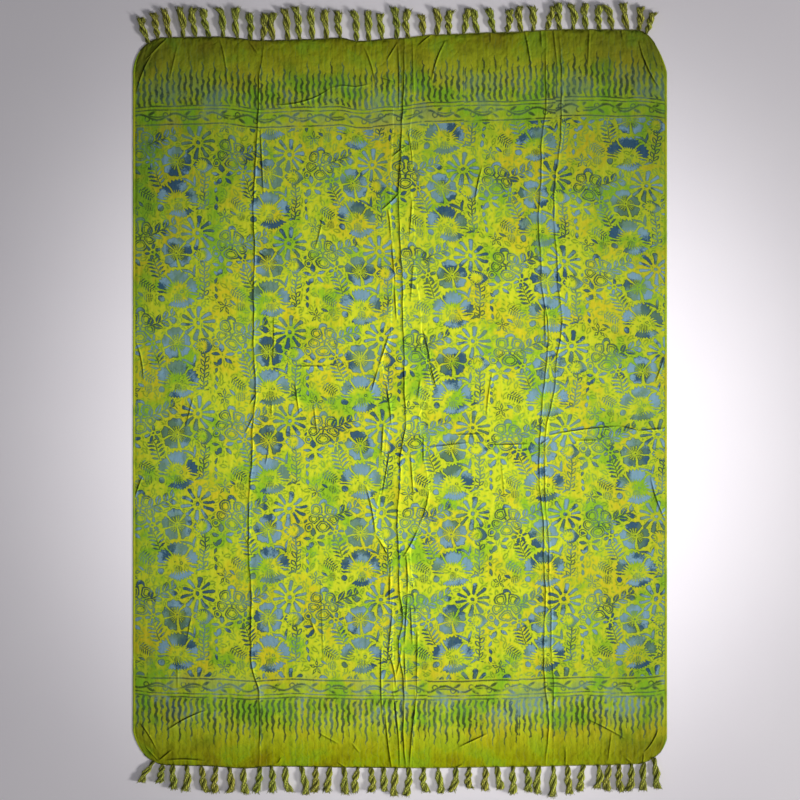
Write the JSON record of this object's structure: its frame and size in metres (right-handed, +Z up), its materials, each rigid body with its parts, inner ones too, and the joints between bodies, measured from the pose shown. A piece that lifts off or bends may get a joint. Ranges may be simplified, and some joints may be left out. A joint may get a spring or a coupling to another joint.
{
  "type": "fringed sarong laid out flat",
  "caption": "Rectangular batik-printed sarong wrap with narrow side hems and twisted fringe locks at both ends, laid out flat.",
  "frame": {"origin": "centre of the bounding box, on the surface that the cloth lies on", "axes": "+X across the cloth, +Y along it towards the upper fringed end, +Z up, out of the printed side"},
  "size_m": [1.15, 1.714, 0.0104],
  "materials": {
    "printed_cloth": "block-printed rayon, dyed lime and gold with blue floral print, soft low sheen",
    "hem_cloth": "rolled and stitched rayon edge in the ground colour",
    "fringe_yarn": "two-ply twisted rayon yarn, frayed at the tip"
  },
  "bodies": {
    "root": {"panel": "printed_cloth", "hem_left": "hem_cloth", "hem_right": "hem_cloth", "fringe_top": "fringe_yarn", "fringe_bottom": "fringe_yarn"}
  },
  "joints": []
}
